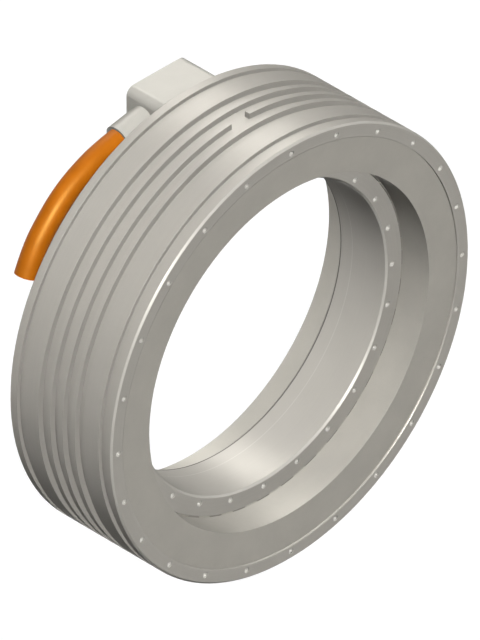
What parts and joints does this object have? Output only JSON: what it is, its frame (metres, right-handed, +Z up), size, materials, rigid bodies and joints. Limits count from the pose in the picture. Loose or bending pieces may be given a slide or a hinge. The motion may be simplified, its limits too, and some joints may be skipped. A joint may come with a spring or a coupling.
{
  "type": "frameless motor",
  "caption": "Ring-shaped frameless torque motor: grooved liquid-cooled stator, rotor ring that turns inside it, rear connection box and orange power cable.",
  "frame": {"origin": "on the motor axis, in the plane of the stator's front mounting face", "axes": "the motor axis is Y with the mounting face towards -Y, the connection box and the cable stand out of the rear towards +Y, and +Z points up through the box"},
  "size_m": [0.385, 0.1466, 0.385],
  "materials": {
    "jacket_metal": "satin, turned",
    "core_steel": "stamped laminations",
    "winding_copper": "enamelled copper",
    "casting_resin": "smooth cast resin",
    "insulation": "moulded",
    "box_metal": "satin, machined",
    "gasket_rubber": "plain",
    "screw_steel": "plain",
    "cable_sheath": "smooth",
    "core_sheath": "smooth",
    "rotor_steel": "satin, turned",
    "magnet": "plated",
    "rotor_resin": "smooth cast resin"
  },
  "bodies": {
    "stator": {"cooling_jacket": "jacket_metal", "stator_core": "core_steel", "slot_wedges": "insulation", "coils_phase_u": "winding_copper", "coils_phase_v": "winding_copper", "coils_phase_w": "winding_copper", "connection_ring_u": "winding_copper", "connection_ring_v": "winding_copper", "connection_ring_w": "winding_copper", "star_ring": "winding_copper", "lead_bars": "winding_copper", "temperature_sensors": "insulation", "front_resin": "casting_resin", "rear_resin": "casting_resin", "connection_box": "box_metal", "box_cover": "box_metal", "box_gasket": "gasket_rubber", "cover_screws": "screw_steel", "box_screws": "screw_steel", "terminal_block": "insulation", "cable_sleeve": "box_metal", "cable_cores": "core_sheath", "power_cable": "cable_sheath"},
    "rotor": {"rotor_ring": "rotor_steel", "magnets_north": "magnet", "magnets_south": "magnet", "magnet_cover": "rotor_resin"}
  },
  "joints": [
    {"name": "rotor_spin", "type": "hinge", "parent": "stator", "child": "rotor", "pos_m": [0, 0.055, 0], "axis": [0, 1, 0], "continuous": true}
  ]
}
